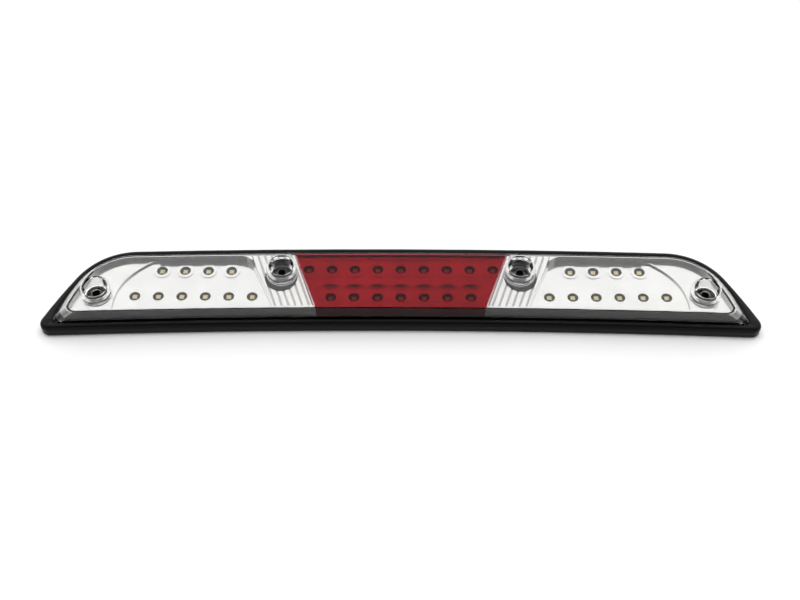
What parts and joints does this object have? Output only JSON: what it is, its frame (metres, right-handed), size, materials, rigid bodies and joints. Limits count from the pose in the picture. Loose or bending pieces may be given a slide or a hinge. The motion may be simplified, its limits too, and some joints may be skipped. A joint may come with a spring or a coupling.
{
  "type": "third brake light",
  "caption": "Slim cab-roof third brake light with a red brake lens in the middle and clear cargo lamps at both ends, held by screws through its face.",
  "frame": {"origin": "bottom centre of the bounding box, on the plane of the rear gasket's seating face", "axes": "+X along the lamp's length; +Y towards the long upper (roof) edge; +Z out of the cab, from the seating face to the lens face"},
  "size_m": [0.5892, 0.0876, 0.0235],
  "materials": {
    "black_housing": "glossy moulded",
    "clear_acrylic": "polished clear",
    "red_acrylic": "polished red",
    "bright_reflector": "metallised",
    "circuit_board": "solder mask",
    "led_case": "satin",
    "white_phosphor": "silicone",
    "red_phosphor": "silicone",
    "black_component": "satin",
    "connector_plastic": "satin",
    "plug_plastic": "satin",
    "wire_sheath": "satin",
    "zinc_screw": "zinc plated",
    "sleeve_metal": "machined",
    "seal_rubber": "matte",
    "bond_line": "cured",
    "foam_gasket": "closed-cell foam",
    "grommet_rubber": "satin",
    "membrane": "matte"
  },
  "bodies": {
    "root": {"rear_housing": "black_housing", "left_clear_lens": "clear_acrylic", "right_clear_lens": "clear_acrylic", "red_lens": "red_acrylic", "left_cargo_reflector": "bright_reflector", "right_cargo_reflector": "bright_reflector", "brake_reflector": "bright_reflector", "left_cargo_board": "circuit_board", "right_cargo_board": "circuit_board", "brake_board": "circuit_board", "left_cargo_leds": "led_case", "right_cargo_leds": "led_case", "brake_leds": "led_case", "left_cargo_led_windows": "white_phosphor", "right_cargo_led_windows": "white_phosphor", "brake_led_windows": "red_phosphor", "series_resistors": "black_component", "blocking_diodes": "black_component", "current_regulator": "black_component", "board_headers": "connector_plastic", "supply_header": "connector_plastic", "lead_plugs": "plug_plastic", "left_board_leads": "wire_sheath", "right_board_leads": "wire_sheath", "rear_screws": "zinc_screw", "screw_sleeves": "sleeve_metal", "well_seals": "seal_rubber", "lens_sealant": "bond_line", "rear_gasket": "foam_gasket", "cable_grommet": "grommet_rubber", "vent_membranes": "membrane"}
  },
  "joints": []
}
